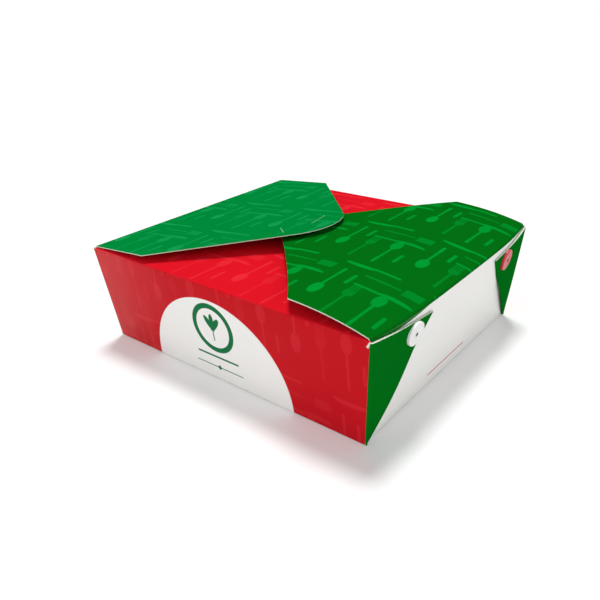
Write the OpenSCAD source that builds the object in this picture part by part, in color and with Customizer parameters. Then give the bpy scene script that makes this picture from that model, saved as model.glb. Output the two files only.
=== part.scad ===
// Takeout box folded from one sheet of card: four leaning walls, corner gussets folded double onto the
// end walls and pinned there by round rivets, two side flaps folded in first and two end flaps over them.
// Millimetres. The origin is the middle of the underside, X runs along the long side and Z is up.

/* [Box] */
// Length of the base along X, over the folded corners
base_length = 150; // [110:1:220]
// Width of the base along Y
base_width = 130; // [100:1:200]
// Height of the fold at the top of the end walls
wall_height = 49; // [35:1:70]
// How far each wall leans out between its bottom and its top fold
wall_flare = 4.4; // [2:0.1:8]
// Outward bow of the right end wall, at the middle of its top fold
end_bow = 3.4; // [1:0.1:6]
// Thickness of the card
card = 0.5; // [0.3:0.05:0.8]

/* [Gussets] */
// How far the gusset's tip reaches in along the wall from the bottom corner
gusset_reach = 35.3; // [31:0.1:38]
// How far the gusset's tip stops below the fold
tip_drop = 4.8; // [2:0.1:7]
// Air left between two plies of folded card
ply_gap = 0.2; // [0.1:0.05:0.4]
// How far the middle of the crease springs off the end wall
gusset_spring = 1.2; // [0:0.1:3]
// How far the gusset's top corner stops below the fold
gusset_drop = 1; // [0.8:0.1:3]

/* [End flaps] */
// Length of an end flap from its fold to its nose
flap_reach = 91; // [80:1:100]
// Length of the straight side of an end flap
flap_side = 35.5; // [20:0.5:45]
// Radius of the rounded nose
nose_radius = 27; // [10:1:32]
// Play between an end flap and the outer faces of the side walls
flap_inset = 0.9; // [0.7:0.1:3]
// Angle at which the outer flap rises from its fold
outer_tilt = 5; // [4:0.5:9]
// Angle at which the inner flap leaves its fold
inner_root_angle = 16; // [12:0.5:17]
// Angle at which the inner flap comes down to its nose
inner_nose_angle = 5; // [4:0.5:7]
// Play left in the outer flap's fold
hinge_play = 0.15; // [0.1:0.05:0.3]

/* [Slits in the outer flap] */
// Length of the long slit, roughly parallel to the fold
long_slit = 12.8; // [6:0.2:16]
// Distance of that slit's middle from the flap's nose
long_slit_from_nose = 12; // [10:0.2:20]
// Distance of that slit's middle from the middle of the flap
long_slit_off_middle = 4.3; // [0:0.1:8]
// Angle of that slit to the fold
long_slit_angle = 8; // [0:1:20]
// Length of the slanted slit
short_slit = 8; // [4:0.2:10]
// Distance of the slanted slit's middle from the flap's nose
short_slit_from_nose = 17.7; // [15:0.1:24]
// Distance of the slanted slit's middle from the middle of the flap
short_slit_off_middle = 16.2; // [13:0.1:18]
// Angle of the slanted slit to the flap's length
short_slit_angle = 40; // [0:1:60]
// Width of both slits
slit_width = 0.3; // [0.2:0.1:1]

/* [Side flaps] */
// Length of a side flap from its fold to its free edge
side_flap_reach = 60; // [45:1:64]
// How far a side flap narrows at each end, over its whole reach
side_flap_taper = 22; // [10:1:35]
// Radius of a side flap's corners
side_flap_corner = 8; // [3:0.5:14]
// How far the side walls' top fold lies below that of the end walls
side_fold_drop = 0.6; // [0.4:0.1:1.5]

/* [Rivets] */
// Diameter of a rivet's head
rivet_head = 10.2; // [9:0.1:13]
// Thickness of a rivet's head
rivet_head_height = 1.2; // [0.8:0.1:2.5]
// Diameter of a rivet's stem
rivet_stem = 3; // [2:0.1:4.5]
// Diameter of the flange that holds a rivet inside the box
rivet_flange = 7; // [6:0.1:9]
// Thickness of that flange
rivet_flange_height = 0.8; // [0.5:0.1:1.5]
// Diameter of the pin mark in the middle of a head
pin_mark = 1.6; // [0.8:0.1:2.5]
// Depth of the pin mark
pin_mark_depth = 0.5; // [0.2:0.1:0.7]
// Distance of a rivet's middle from the gusset's crease
rivet_to_crease = 7.4; // [5.5:0.1:9]
// Distance of a rivet's middle below the gusset's tip, up the wall
rivet_below_tip = 3.8; // [2:0.1:6]
// Play of the stem in its hole
rivet_play = 0.1; // [0.05:0.05:0.2]
// Air between a rivet and the card on each side of its wall
rivet_seat = 0.1; // [0.06:0.01:0.15]
// Length over which a sprung gusset is back on the wall below a rivet's head
rivet_margin = 1; // [0.5:0.1:3]

/* [Hidden] */
$fn = 48;
red = [0.76, 0.10, 0.13];
green = [0.01, 0.42, 0.14];
white = [0.86, 0.85, 0.83];
rim_round = 0.4;
fold_radius = 0.6;
corner_play = 0.1;
first_flap_row = 2;
gusset_foot = 1.5;
fold_steps = 4;
bow_steps = 20;
bow_power = 4;
bow_rise_power = 1.3;
flap_steps = 6;
nose_steps = 6;
corner_steps = 4;
rise_steps = 4;
reach_steps = 4;
wall_steps = 3;

lean_slope = wall_flare / wall_height;
lean = atan(lean_slope);
pinch = 2 * (card + ply_gap) + corner_play;
end_x = base_length / 2 - pinch;
side_y = base_width / 2;
half_card = card / 2 / cos(lean);
end_fold_x = end_x + wall_flare - half_card;
flap_half = side_y + wall_flare - flap_inset;

gusset_tip = [side_y - gusset_reach, wall_height - tip_drop];
gusset_top = wall_height - gusset_drop;

nose_middle = flap_reach - nose_radius;
corner_from_nose = [flap_side - nose_middle, flap_half];
nose_angle = atan2(corner_from_nose[1], corner_from_nose[0]) - acos(nose_radius / norm(corner_from_nose));

crease = gusset_tip - [side_y, 0];
crease_direction = crease / norm(crease);
rivet_z = gusset_tip[1] - rivet_below_tip;
rivet_y = side_y + (crease_direction[0] * rivet_z + rivet_to_crease) / crease_direction[1];

gusset_start = gusset_foot / gusset_top;
spring_end = (rivet_z - rivet_head / 2 - rivet_margin) / gusset_top;
gusset_rises = concat(
    [for (i = [0 : rise_steps]) gusset_start + (spring_end - gusset_start) * i / rise_steps],
    [1]);
gusset_reaches = [for (i = [0 : reach_steps]) i / reach_steps];

// Outward bow of an end wall, given the middle fold's bow
function bow_at(bow, y, z) =
    bow * pow(min(z, wall_height) / wall_height, bow_rise_power)
        * (1 - pow(y / (side_y + wall_flare), bow_power));

// A point on an end wall's outer face, or off it by the given distance
function end_point(bow, y, z, off) = [end_x + z * lean_slope + bow_at(bow, y, z) + off, y, z];

// Rise of the inner flap's middle layer over its fold
function inner_rise(s) =
    let (left_over = 1 - s / flap_reach)
    tan(1) * (-inner_nose_angle * s
        + (inner_root_angle + inner_nose_angle) * flap_reach / 3 * (1 - pow(left_over, 3)));

// Rows of an end flap: distance from the fold and half width there
function end_flap_rows(start) = concat(
    [for (i = [0 : flap_steps / 2]) [start + (flap_side - start) * i * 2 / flap_steps, flap_half]],
    [for (i = [1 : flap_steps - 1])
        let (tangent = [nose_middle + nose_radius * cos(nose_angle), nose_radius * sin(nose_angle)],
             part = i / flap_steps)
        [flap_side + (tangent[0] - flap_side) * part, flap_half + (tangent[1] - flap_half) * part]],
    [for (i = [0 : nose_steps])
        let (turn = nose_angle * (1 - i / (nose_steps + 0.3)))
        [nose_middle + nose_radius * cos(turn), nose_radius * sin(turn)]]);

// Rows of a side flap: distance from the fold and half width there
function side_flap_rows(start, half) =
    let (straight = side_flap_reach - side_flap_corner, end_half = half - side_flap_taper)
    concat(
        [[start, half], [straight, half - side_flap_taper * straight / side_flap_reach]],
        [for (i = [1 : corner_steps])
            let (turn = 90 * i / corner_steps)
            [straight + side_flap_corner * sin(turn), end_half - side_flap_corner * (1 - cos(turn))]]);

// Direction square to a grid of points at one of them
function grid_normal(grid, i, j) =
    let (last_row = len(grid) - 1,
         last_column = len(grid[0]) - 1,
         across = grid[i][min(j + 1, last_column)] - grid[i][max(j - 1, 0)],
         along = grid[min(i + 1, last_row)][j] - grid[max(i - 1, 0)][j],
         square = cross(across, along))
    square / norm(square);

// Card whose middle layer runs through a grid of points, rows first
module sheet(grid) {
    rows = len(grid);
    columns = len(grid[0]);
    size = rows * columns;
    function at(i, j) = i * columns + j;
    function side(direction) = [
        for (i = [0 : rows - 1], j = [0 : columns - 1])
            grid[i][j] + direction * card / 2 * grid_normal(grid, i, j)];
    function quad(a, b, c, d) = [[a, b, c], [a, c, d]];
    faces = [
        for (i = [0 : rows - 2], j = [0 : columns - 2])
            let (a = at(i, j), b = at(i, j + 1), c = at(i + 1, j + 1), d = at(i + 1, j))
            each concat(quad(a, d, c, b), quad(size + a, size + b, size + c, size + d)),
        for (i = [0 : rows - 2])
            let (a = at(i, 0), b = at(i + 1, 0), c = at(i, columns - 1), d = at(i + 1, columns - 1))
            each concat(quad(a, size + a, size + b, b), quad(c, d, size + d, size + c)),
        for (j = [0 : columns - 2])
            let (a = at(0, j), b = at(0, j + 1), c = at(rows - 1, j), d = at(rows - 1, j + 1))
            each concat(quad(a, b, size + b, size + a), quad(c, size + c, size + d, d))];
    polyhedron(points = concat(side(1), side(-1)), faces = faces, convexity = 6);
}

// Points of a fold between a wall and its flap, seen along the fold: outward distance and height
function fold_arc(outward, height, flap_angle) =
    let (turn = 90 + lean - flap_angle,
         run = fold_radius * tan(turn / 2),
         start = [outward - run * sin(lean), height - run * cos(lean)],
         middle = start + fold_radius * [-cos(lean), sin(lean)])
    [for (i = [0 : fold_steps])
        let (angle = -lean + turn * i / fold_steps)
        middle + fold_radius * [cos(angle), sin(angle)]];

// Right end wall with the inner flap on it, one sheet
module inner_end() {
    arc = fold_arc(end_fold_x, wall_height, inner_root_angle);
    root = arc[fold_steps];
    start = end_fold_x - root[0];
    wall_rows = [for (i = [0 : wall_steps - 1])
        let (z = card / 2 + i / wall_steps * (arc[0][1] - card / 2))
        [end_x - half_card + z * lean_slope, z, side_y - card / 2 + z * lean_slope]];
    fold_rows = [for (p = arc) [p[0], p[1], flap_half]];
    flap_rows = [for (row = end_flap_rows(start + first_flap_row)) [end_fold_x - row[0],
        root[1] + inner_rise(row[0] - start), row[1]]];
    sheet([for (row = concat(wall_rows, fold_rows, flap_rows))
        [for (j = [0 : bow_steps])
            let (y = row[2] * (2 * j / bow_steps - 1))
            [row[0] + bow_at(end_bow, y, row[1]), y, row[1]]]]);
}

// Left end wall, up to the outer flap's fold
module plain_end() {
    top = wall_height - card / 2 - hinge_play;
    mirror([1, 0, 0])
        sheet([for (z = [card / 2, top])
            [for (part = [-1, 1])
                [end_x - half_card + z * lean_slope, part * (side_y - card / 2 + z * lean_slope), z]]]);
}

// Side wall with the side flap on it, one sheet, at the front
module side_with_flap() {
    top = wall_height - side_fold_drop;
    fold_y = side_y + top * lean_slope - half_card;
    arc = fold_arc(fold_y, top, 0);
    root = arc[fold_steps];
    flap_root_half = end_x + wall_flare - card - 3 * ply_gap;
    bottom = [side_y - half_card + card / 2 * lean_slope, card / 2, base_length / 2];
    wall_top = [arc[0][0], arc[0][1], base_length / 2 + wall_flare - side_fold_drop * lean_slope];
    fold_rows = [for (i = [1 : fold_steps]) [arc[i][0], arc[i][1], flap_root_half]];
    flap_rows = [for (row = side_flap_rows(first_flap_row, flap_root_half))
        [fold_y - row[0], root[1], row[1]]];
    sheet([for (row = concat([bottom, wall_top], fold_rows, flap_rows))
        [for (part = [-1, 1]) [part * row[2], -row[0], row[1]]]]);
}

// How far a gusset stands off the wall, up the crease (rise) and away from the corner (reach)
function spring_at(rise, reach) = gusset_spring * reach * sin(180 * min(1, rise / spring_end));

// Gusset at the front of the right end wall: a triangle of card folded double along its crease
module gusset(bow) {
    inner_off = ply_gap + card / 2;
    turn_radius = (card + ply_gap) / 2;
    columns = concat(
        [for (reach = gusset_reaches) [reach, 0, inner_off]],
        [for (angle = [45, 90, 135])
            [1, turn_radius * sin(angle), inner_off + turn_radius * (1 - cos(angle))]],
        [for (reach = gusset_reaches) [1 - reach, 0, inner_off + card + ply_gap]]);
    foot = [side_y - card / 2, 0];
    top = [side_y - card / 2 + gusset_top * lean_slope, gusset_top];
    sheet([for (rise = gusset_rises)
        [for (column = columns)
            let (corner = foot + rise * (top - foot),
                 on_crease = foot + rise * (gusset_tip - foot),
                 place = corner + column[0] * (on_crease - corner) - [column[1], 0])
            end_point(bow, -place[0], place[1], column[2] + spring_at(rise, column[0]))]]);
}

// Children are placed square on the right end wall where its front rivet sits, Z outward
module at_rivet(bow) {
    step = 0.01;
    place = end_point(bow, -rivet_y, rivet_z, 0);
    up_slope = (end_point(bow, -rivet_y, rivet_z + step, 0)[0] - place[0]) / step;
    side_slope = (end_point(bow, -rivet_y + step, rivet_z, 0)[0] - place[0]) / step;
    translate(place)
        rotate([0, 90 + atan(up_slope), -atan(side_slope)])
            children();
}

// Round push rivet: flat head with a soft rim and a pin mark, stem, and flange inside the wall
module rivet(bow) {
    head_foot = 2 * (card + ply_gap) + rivet_seat;
    flange_top = -card - rivet_seat;
    flange_bottom = flange_top - rivet_flange_height;
    head_top = head_foot + rivet_head_height;
    head_r = rivet_head / 2;
    flange_r = rivet_flange / 2;
    stem_r = rivet_stem / 2;
    at_rivet(bow)
        rotate_extrude()
            difference() {
                union() {
                    polygon([[0, flange_bottom], [flange_r, flange_bottom], [flange_r, flange_top],
                        [stem_r, flange_top], [stem_r, head_foot], [head_r, head_foot],
                        [head_r, head_top - rim_round], [head_r - rim_round, head_top], [0, head_top]]);
                    translate([head_r - rim_round, head_top - rim_round])
                        circle(r = rim_round, $fn = 32);
                }
                translate([0, head_top - pin_mark_depth])
                    square([pin_mark / 2, 2 * pin_mark_depth]);
            }
}

module rivet_hole(bow) {
    depth = 4 * (card + ply_gap);
    at_rivet(bow)
        translate([0, 0, -depth])
            cylinder(d = rivet_stem + 2 * rivet_play, h = 2 * depth);
}

module carton() {
    color(red)
        difference() {
            union() {
                translate([-end_x, -side_y, 0])
                    cube([2 * end_x, 2 * side_y, card]);
                inner_end();
                plain_end();
                for (back = [0, 1]) mirror([0, back, 0]) {
                    side_with_flap();
                    gusset(end_bow);
                    mirror([1, 0, 0]) gusset(0);
                }
            }
            for (back = [0, 1]) mirror([0, back, 0]) {
                rivet_hole(end_bow);
                mirror([1, 0, 0]) rivet_hole(0);
            }
        }
}

// Outer flap: a flat sheet that turns about the left end wall's top fold
module outer_flap() {
    rows = end_flap_rows(0);
    far_side = [for (row = rows) [row[0], row[1]]];
    near_side = [for (i = [len(rows) - 1 : -1 : 0]) [rows[i][0], -rows[i][1]]];
    color(green)
        translate([-end_fold_x, 0, wall_height])
            rotate([0, -outer_tilt, 0]) {
                rotate([90, 0, 0])
                    cylinder(d = card, h = 2 * flap_half, center = true);
                difference() {
                    translate([0, 0, -card / 2])
                        linear_extrude(card)
                            polygon(concat(far_side, near_side));
                    translate([flap_reach - long_slit_from_nose, long_slit_off_middle, 0])
                        rotate([0, 0, long_slit_angle])
                            cube([slit_width, long_slit, 2 * card], center = true);
                    translate([flap_reach - short_slit_from_nose, -short_slit_off_middle, 0])
                        rotate([0, 0, -short_slit_angle])
                            cube([short_slit, slit_width, 2 * card], center = true);
                }
            }
}

carton();
outer_flap();
color(white) rivet(end_bow);  // rivet_front_right
color(red) mirror([0, 1, 0]) rivet(end_bow);  // rivet_back_right
color(white) mirror([1, 0, 0]) rivet(0);  // rivet_front_left
color(red) mirror([1, 0, 0]) mirror([0, 1, 0]) rivet(0);  // rivet_back_left
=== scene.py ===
import math

import bmesh
import bpy
import numpy as np
from mathutils import Matrix, Vector


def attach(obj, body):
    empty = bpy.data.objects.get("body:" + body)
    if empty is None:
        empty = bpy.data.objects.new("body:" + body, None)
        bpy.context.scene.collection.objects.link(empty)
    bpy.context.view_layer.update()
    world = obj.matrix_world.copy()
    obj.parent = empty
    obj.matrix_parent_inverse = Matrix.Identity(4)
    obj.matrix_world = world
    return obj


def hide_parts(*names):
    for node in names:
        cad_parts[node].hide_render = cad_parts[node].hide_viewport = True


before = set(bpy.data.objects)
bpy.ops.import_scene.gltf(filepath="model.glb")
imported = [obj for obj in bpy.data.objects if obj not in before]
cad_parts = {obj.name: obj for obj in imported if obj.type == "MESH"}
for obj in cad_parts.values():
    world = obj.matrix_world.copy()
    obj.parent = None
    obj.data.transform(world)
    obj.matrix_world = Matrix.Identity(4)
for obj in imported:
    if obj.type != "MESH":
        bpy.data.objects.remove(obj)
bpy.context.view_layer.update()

mm = 0.001

# the box as its card was cut and folded, in millimetres
boxSizes = {
    "length": 150.0,
    "width": 130.0,
    "height": 49.0,
    "flare": 4.4,          # how far each wall leans out
    "endBow": 3.4,         # bow of the right end wall at its top fold
    "card": 0.5,
    "plyGap": 0.2,         # air between two plies
    "cornerPlay": 0.1,
    "bottomFold": 0.45,    # fold radii, at the middle of the card
    "topFold": 0.85,
    "cornerFold": 0.6,
    "foldSteps": 8,
    "wallRows": 14,
    "sharpAngle": 40.0,    # edges above this angle stay sharp
    "wearReach": 1.2,      # how far wear reaches in from a cut edge
}
card = boxSizes["card"]
slope = boxSizes["flare"] / boxSizes["height"]
lean = math.atan(slope)
halfCard = card / 2 / math.cos(lean)
endX = boxSizes["length"] / 2 - 2 * (card + boxSizes["plyGap"]) - boxSizes["cornerPlay"]
sideY = boxSizes["width"] / 2
topHalf = sideY + boxSizes["flare"]
endFoldX = endX + boxSizes["flare"] - halfCard
outerPly = 2 * (card + boxSizes["plyGap"])    # outer face of a gusset, off the end wall


def bowAt(bow, y, z):
    height = boxSizes["height"]
    return bow * (np.clip(z, 0, height) / height) ** 1.3 * (1 - (y / topHalf) ** 4)


# round the corner between two straight runs, in the plane across a fold
def bend(corner, before, after, radius, steps):
    before = np.array(before, float) / np.linalg.norm(before)
    after = np.array(after, float) / np.linalg.norm(after)
    turn = math.atan2(before[0] * after[1] - before[1] * after[0], before @ after)
    square = np.array([-before[1], before[0]]) * math.copysign(1, turn)
    middle = np.array(corner) - before * radius * math.tan(abs(turn) / 2) + square * radius
    points = []
    for i in range(steps + 1):
        angle = turn * i / steps
        arm = -radius * square
        points.append([middle[0] + arm[0] * math.cos(angle) - arm[1] * math.sin(angle),
                       middle[1] + arm[0] * math.sin(angle) + arm[1] * math.cos(angle)])
    return points


def unit(vectors):
    return vectors / np.maximum(np.linalg.norm(vectors, axis=-1, keepdims=True), 1e-12)


def tangents(grid, axis):
    steps = unit(np.diff(grid, axis=axis))
    first, last = np.take(steps, [0], axis), np.take(steps, [-1], axis)
    return unit(np.concatenate([first, steps], axis) + np.concatenate([steps, last], axis))


# spread of positions from 0 to 1 that is finer beside both ends
def acrossCard(count, edge=0.6, width=140.0):
    inner = np.linspace(0, 1, count)[1:-1]
    close = np.array([0, edge / 3, edge, 2 * edge]) / width
    return np.concatenate([close, inner, 1 - close[::-1]])


# a closed sheet of card whose middle layer runs through a grid of points, rows first;
# its outer side changes to another finish at the row given, and root is the finish of its first row's edge
def addSheet(build, grid, outside, beyond=None, changeRow=0, thickness=card, root="edge"):
    grid = np.asarray(grid, float)
    rows, columns = grid.shape[:2]
    normals = unit(np.cross(tangents(grid, 1), tangents(grid, 0)))
    start = sum(len(p) for p in build["points"])
    build["points"] += [(grid + normals * thickness / 2).reshape(-1, 3),
                        (grid - normals * thickness / 2).reshape(-1, 3)]
    size = rows * columns
    at = np.arange(size).reshape(rows, columns) + start
    a, b, c, d = at[:-1, :-1].ravel(), at[:-1, 1:].ravel(), at[1:, 1:].ravel(), at[1:, :-1].ravel()
    loop = np.concatenate([at[0, :], at[1:, -1], at[-1, -2::-1], at[-2:0:-1, 0]])
    after = np.roll(loop, -1)
    first = (changeRow if beyond else rows - 1) * (columns - 1)
    layers = [(np.stack([a, d, c, b], 1), [outside] * first + [beyond] * (len(a) - first)),
              (np.stack([a, b, c, d], 1) + size, ["inside"] * len(a)),
              (np.stack([loop, loop + size, after + size, after], 1),
               [root] * (columns - 1) + ["edge"] * (len(loop) - columns + 1))]
    for faces, finish in layers:
        build["faces"].append(faces)
        build["finish"] += finish
    build["wear"].append(np.tile(edgeWear(grid), 2))


# how near each point of a grid is to a cut edge or to a tight fold, from 0 to 1
def edgeWear(grid):
    def run(axis):
        lengths = np.linalg.norm(np.diff(grid, axis=axis), axis=-1)
        far = np.concatenate([np.zeros_like(np.take(lengths, [0], axis)), np.cumsum(lengths, axis)], axis)
        return np.minimum(far, np.take(far, [-1], axis) - far)

    def folded(axis):
        steps = unit(np.diff(grid, axis=axis))
        near = np.take(steps, range(steps.shape[axis] - 1), axis)
        nextOnes = np.take(steps, range(1, steps.shape[axis]), axis)
        turn = 1 - np.sum(near * nextOnes, -1)
        pad = np.zeros_like(np.take(turn, [0], axis))
        return np.concatenate([pad, turn, pad], axis)

    cut = 1 - np.clip(np.minimum(run(0), run(1)) / boxSizes["wearReach"], 0, 1)
    fold = np.clip(np.maximum(folded(0), folded(1)) / 0.01, 0, 1)
    return np.maximum(0.5 * cut, fold).ravel()


def newBuild():
    return {"points": [], "faces": [], "finish": [], "wear": []}


def addObject(name, data):
    piece = bpy.data.objects.new(name, data)
    bpy.context.scene.collection.objects.link(piece)
    return piece


def finishPiece(build, name, finishes):
    mesh = bpy.data.meshes.new(name)
    points = np.concatenate(build["points"]) * mm
    faces = np.concatenate(build["faces"])
    mesh.from_pydata(points.tolist(), [], faces.tolist())
    order = list(finishes)
    for material in finishes.values():
        mesh.materials.append(material)
    mesh.polygons.foreach_set("material_index", [order.index(f) for f in build["finish"]])
    wear = mesh.attributes.new("wear", "FLOAT", "POINT")
    wear.data.foreach_set("value", np.concatenate(build["wear"]).astype(np.float32))
    shell = bmesh.new()
    shell.from_mesh(mesh)
    bmesh.ops.recalc_face_normals(shell, faces=shell.faces)
    shell.to_mesh(mesh)
    shell.free()
    mesh.shade_smooth()
    mesh.set_sharp_from_angle(angle=math.radians(boxSizes["sharpAngle"]))
    return addObject(name, mesh)


def srgb(red, green, blue):
    parts = [v / 255 for v in (red, green, blue)]
    return [v / 12.92 if v <= 0.04045 else ((v + 0.055) / 1.055) ** 2.4 for v in parts] + [1]


# node building, one node at a time: each input is a value or a link
def put(tree, kind, inputs=None, **settings):
    node = tree.nodes.new(kind)
    for key, value in settings.items():
        setattr(node, key, value)
    for key, value in (inputs or {}).items():
        if isinstance(value, bpy.types.NodeSocket):
            tree.links.new(value, node.inputs[key])
        else:
            node.inputs[key].default_value = value
    return node


def calc(tree, operation, *values, clamp=False):
    inputs = dict(enumerate(values))
    return put(tree, "ShaderNodeMath", inputs, operation=operation, use_clamp=clamp).outputs[0]


def plus(tree, first, second, clamp=False):
    return calc(tree, "ADD", first, second, clamp=clamp)


def minus(tree, first, second, clamp=False):
    return calc(tree, "SUBTRACT", first, second, clamp=clamp)


def times(tree, first, second, clamp=False):
    return calc(tree, "MULTIPLY", first, second, clamp=clamp)


def lengthOf(tree, first, second):
    return calc(tree, "SQRT", plus(tree, times(tree, first, first), times(tree, second, second)))


def nearestOf(tree, *distances):
    nearest = distances[0]
    for distance in distances[1:]:
        nearest = calc(tree, "MINIMUM", nearest, distance)
    return nearest


def noise(tree, place, scale, detail):
    return put(tree, "ShaderNodeTexNoise", {"Vector": place, "Scale": scale, "Detail": detail}).outputs[0]


def blendColour(tree, share, first, second):
    return put(tree, "ShaderNodeMix", {0: share, 6: first, 7: second}, data_type="RGBA").outputs[2]


def newGroup(name, inputs, outputs):
    group = bpy.data.node_groups.new(name, "ShaderNodeTree")
    for label, kind, value in inputs:
        socket = group.interface.new_socket(label, in_out="INPUT", socket_type="NodeSocket" + kind)
        if value is not None:
            socket.default_value = value
    for label, kind in outputs:
        group.interface.new_socket(label, in_out="OUTPUT", socket_type="NodeSocket" + kind)
    return group, group.nodes.new("NodeGroupInput").outputs, group.nodes.new("NodeGroupOutput").inputs


def useGroup(tree, group, inputs):
    return put(tree, "ShaderNodeGroup", inputs, node_tree=group).outputs


# 1 inside an outline, 0 outside it, from a distance that is negative inside
def insideOf(tree, distance, soft=0.18):
    inputs = {"Value": distance, "From Min": soft, "From Max": -soft}
    return put(tree, "ShaderNodeMapRange", inputs).outputs[0]


def split(tree, vector):
    parts = put(tree, "ShaderNodeSeparateXYZ", {0: vector}).outputs
    return parts[0], parts[1], parts[2]


# distance to an upright rounded bar
def barDistance(tree, across, along, low, high, radius):
    nearest = calc(tree, "MINIMUM", calc(tree, "MAXIMUM", along, low), high)
    return minus(tree, lengthOf(tree, across, minus(tree, along, nearest)), radius)


# rough distance to an upright oval
def ovalDistance(tree, across, along, middle, halfWidth, halfLength):
    u = calc(tree, "DIVIDE", across, halfWidth)
    v = calc(tree, "DIVIDE", minus(tree, along, middle), halfLength)
    return times(tree, minus(tree, lengthOf(tree, u, v), 1), min(halfWidth, halfLength))


# a place in axes turned by an angle, as along and across
def turnedAxes(tree, u, v, angle):
    c, d = math.cos(angle), math.sin(angle)
    along = plus(tree, times(tree, u, c), times(tree, v, d))
    return along, minus(tree, times(tree, v, c), times(tree, u, d))


# utensils of the printed pattern, each about 26 mm long and centred, with its handle down
printSizes = {
    "cellAcross": 40.0,    # repeat along the box, in mm
    "cellAlong": 46.0,     # repeat across the box
    "rowShift": 20.0,
    "half": 12.8,          # half the length of a utensil
    "handle": 0.7,
    "knife": (2.0, 7.4),   # half width and half length of the blade, and so on
    "spoonBowl": (2.45, 4.5),
    "forkHead": 2.2,
    "server": (2.5, 3.9),
    "bar": (0.8, 3.6),
    "stem": 0.55,
    "stemEnd": -7.0,       # where a handle narrows to its stem
    "tine": 0.42,
}


def markGroup(name):
    group, given, out = newGroup(name, [("Vector", "Vector", None)], [("Mask", "Float")])
    return (group, out) + split(group, given["Vector"])[:2]


def knifeMark():
    group, out, u, v = markGroup("knifeMark")
    wide, long = printSizes["knife"]
    blade = ovalDistance(group, u, v, printSizes["half"] - long, wide, long)
    blade = calc(group, "MAXIMUM", blade, minus(group, u, 0.2 * wide))
    grip = barDistance(group, u, v, -printSizes["half"] + 1, -1.0, printSizes["handle"])
    group.links.new(insideOf(group, calc(group, "MINIMUM", blade, grip)), out["Mask"])
    return group


# a handle, and the thinner stem that runs on from it
def handle(group, u, v, end):
    low = -printSizes["half"] + 1
    return (barDistance(group, u, v, low, end, printSizes["stem"]),
            barDistance(group, u, v, low, printSizes["stemEnd"], printSizes["handle"]))


def spoonMark():
    group, out, u, v = markGroup("spoonMark")
    halfWidth, halfLength = printSizes["spoonBowl"]
    bowl = ovalDistance(group, u, v, printSizes["half"] - halfLength, halfWidth, halfLength)
    group.links.new(insideOf(group, nearestOf(group, bowl, *handle(group, u, v, 4.0))), out["Mask"])
    return group


def forkMark():
    group, out, u, v = markGroup("forkMark")
    wide = printSizes["forkHead"]
    head = barDistance(group, u, v, 4.5, 6.2, wide)
    pitch = wide * 2 / 3.4
    tine = calc(group, "WRAP", u, pitch / 2, -pitch / 2)
    tines = barDistance(group, tine, v, 6.0, printSizes["half"] - 0.4, printSizes["tine"])
    tines = calc(group, "MAXIMUM", tines, minus(group, calc(group, "ABSOLUTE", u), wide))
    head = calc(group, "MAXIMUM", head, minus(group, v, 7.0))
    group.links.new(insideOf(group, nearestOf(group, head, tines, *handle(group, u, v, 3.0))), out["Mask"])
    return group


def serverMark():
    group, out, u, v = markGroup("serverMark")
    halfWidth, halfLength = printSizes["server"]
    blade = calc(group, "MAXIMUM", minus(group, calc(group, "ABSOLUTE", u), halfWidth),
                 minus(group, calc(group, "ABSOLUTE", minus(group, v, 8.6)), halfLength))
    grip = barDistance(group, u, v, -printSizes["half"] + 1, -2.0, printSizes["handle"])
    stem = barDistance(group, u, v, -3.0, 3.0, 0.5)
    group.links.new(insideOf(group, nearestOf(group, blade, stem, grip)), out["Mask"])
    return group


def barMark():
    group, out, u, v = markGroup("barMark")
    radius, half = printSizes["bar"]
    group.links.new(insideOf(group, barDistance(group, u, v, -half, half, radius)), out["Mask"])
    return group


# the whole pattern: where each utensil lies in its cell, its turn and its strength
def utensilPrint():
    group, given, out = newGroup("utensilPrint", [("Vector", "Vector", None)], [("Mask", "Float")])
    marks = {"knife": knifeMark(), "spoon": spoonMark(), "fork": forkMark(),
             "server": serverMark(), "bar": barMark()}
    layout = [
        ("knife", -6.5, 18.0, 90, 1.0),
        ("server", 6.8, 11.0, -90, 0.55),
        ("spoon", -15.0, -1.0, 180, 1.0),
        ("bar", -8.4, 4.5, 0, 0.9),
        ("knife", 6.8, 2.6, -90, 0.9),
        ("fork", -3.0, -10.0, 0, 0.5),
        ("spoon", 8.5, -10.0, 0, 0.9),
        ("bar", 15.6, -13.0, 0, 0.8),
    ]
    u, v, w = split(group, given["Vector"])
    halfAlong = printSizes["cellAlong"] / 2
    halfAcross = printSizes["cellAcross"] / 2
    row = calc(group, "FLOOR", calc(group, "DIVIDE", plus(group, v, halfAlong), 2 * halfAlong))
    shifted = plus(group, u, times(group, row, printSizes["rowShift"]))
    cellU = calc(group, "WRAP", shifted, halfAcross, -halfAcross)
    cellV = calc(group, "WRAP", v, halfAlong, -halfAlong)
    cell = put(group, "ShaderNodeCombineXYZ", {0: cellU, 1: cellV}).outputs[0]
    total = None
    for kind, x, y, turn, strength in layout:
        angle = math.radians(turn)
        there = {"Vector": cell, "Location": (x, y, 0), "Rotation": (0, 0, angle)}
        placed = put(group, "ShaderNodeMapping", there, vector_type="TEXTURE").outputs[0]
        mask = times(group, useGroup(group, marks[kind], {"Vector": placed})["Mask"], strength)
        total = mask if total is None else calc(group, "MAXIMUM", total, mask)
    group.links.new(total, out["Mask"])
    return group


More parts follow.
